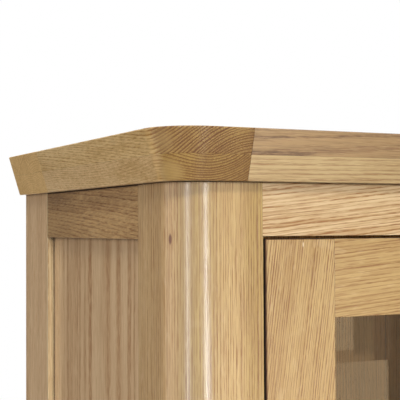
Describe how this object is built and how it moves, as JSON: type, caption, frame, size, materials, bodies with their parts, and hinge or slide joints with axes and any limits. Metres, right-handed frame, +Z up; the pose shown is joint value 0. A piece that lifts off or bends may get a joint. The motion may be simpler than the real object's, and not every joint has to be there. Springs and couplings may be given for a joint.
{
  "type": "display cabinet",
  "caption": "Freestanding oak display cabinet: glazed inset doors over dovetailed drawers, framed panel sides, rounded front posts and a thick top with undercut bevelled edges.",
  "frame": {"origin": "middle of the bounding box, on the floor under the soles of the feet", "axes": "+X to the right seen from the front, the front faces -Y, +Z up"},
  "size_m": [0.899, 0.386, 1.8],
  "materials": {
    "oak": "clear satin lacquer on natural oak",
    "glass": "clear float glass",
    "hinge_metal": "satin aged brass",
    "catch_plastic": "brown moulded plastic"
  },
  "bodies": {
    "carcass": {"back_boards": "oak", "bottom_board": "oak", "deck_board": "oak", "door_catches": "catch_plastic", "drawer_divider": "oak", "drawer_kickers": "oak", "drawer_runners": "oak", "front_rail_bottom": "oak", "front_rail_middle": "oak", "front_rail_top": "oak", "hinge_post_leaves_left": "hinge_metal", "hinge_post_leaves_right": "hinge_metal", "post_front_left": "oak", "post_front_right": "oak", "post_rear_left": "oak", "post_rear_right": "oak", "rear_rails": "oak", "shelf_bearers": "oak", "shelf_lower": "oak", "shelf_middle": "oak", "shelf_upper": "oak", "side_panel_left": "oak", "side_panel_right": "oak", "side_rail_bottom_left": "oak", "side_rail_bottom_right": "oak", "side_rail_top_left": "oak", "side_rail_top_right": "oak", "top_battens": "oak", "top_field_board": "oak", "top_front_strip_lower": "oak", "top_front_strip_upper": "oak", "top_rear_board": "oak", "top_side_strip_left_lower": "oak", "top_side_strip_left_upper": "oak", "top_side_strip_right_lower": "oak", "top_side_strip_right_upper": "oak"},
    "door_left": {"door_left_beads": "oak", "door_left_glass": "glass", "door_left_hinge_leaves": "hinge_metal", "door_left_hinge_stile": "oak", "door_left_knob": "oak", "door_left_meeting_stile": "oak", "door_left_rail_bottom": "oak", "door_left_rail_top": "oak"},
    "door_right": {"door_right_beads": "oak", "door_right_glass": "glass", "door_right_hinge_leaves": "hinge_metal", "door_right_hinge_stile": "oak", "door_right_knob": "oak", "door_right_meeting_stile": "oak", "door_right_rail_bottom": "oak", "door_right_rail_top": "oak"},
    "drawer_left": {"drawer_left_base": "oak", "drawer_left_box": "oak", "drawer_left_front": "oak", "drawer_left_knob": "oak"},
    "drawer_right": {"drawer_right_base": "oak", "drawer_right_box": "oak", "drawer_right_front": "oak", "drawer_right_knob": "oak"}
  },
  "joints": [
    {"name": "door_left_hinge", "type": "hinge", "parent": "carcass", "child": "door_left", "pos_m": [-0.361, -0.1685, 1.046], "axis": [0, 0, -1], "range_deg": [0, 165]},
    {"name": "door_right_hinge", "type": "hinge", "parent": "carcass", "child": "door_right", "pos_m": [0.361, -0.1685, 1.046], "axis": [0, 0, 1], "range_deg": [0, 165]},
    {"name": "drawer_left_slide", "type": "slide", "parent": "carcass", "child": "drawer_left", "axis": [0, -1, 0], "range_m": [0, 0.25]},
    {"name": "drawer_right_slide", "type": "slide", "parent": "carcass", "child": "drawer_right", "axis": [0, -1, 0], "range_m": [0, 0.25]}
  ]
}
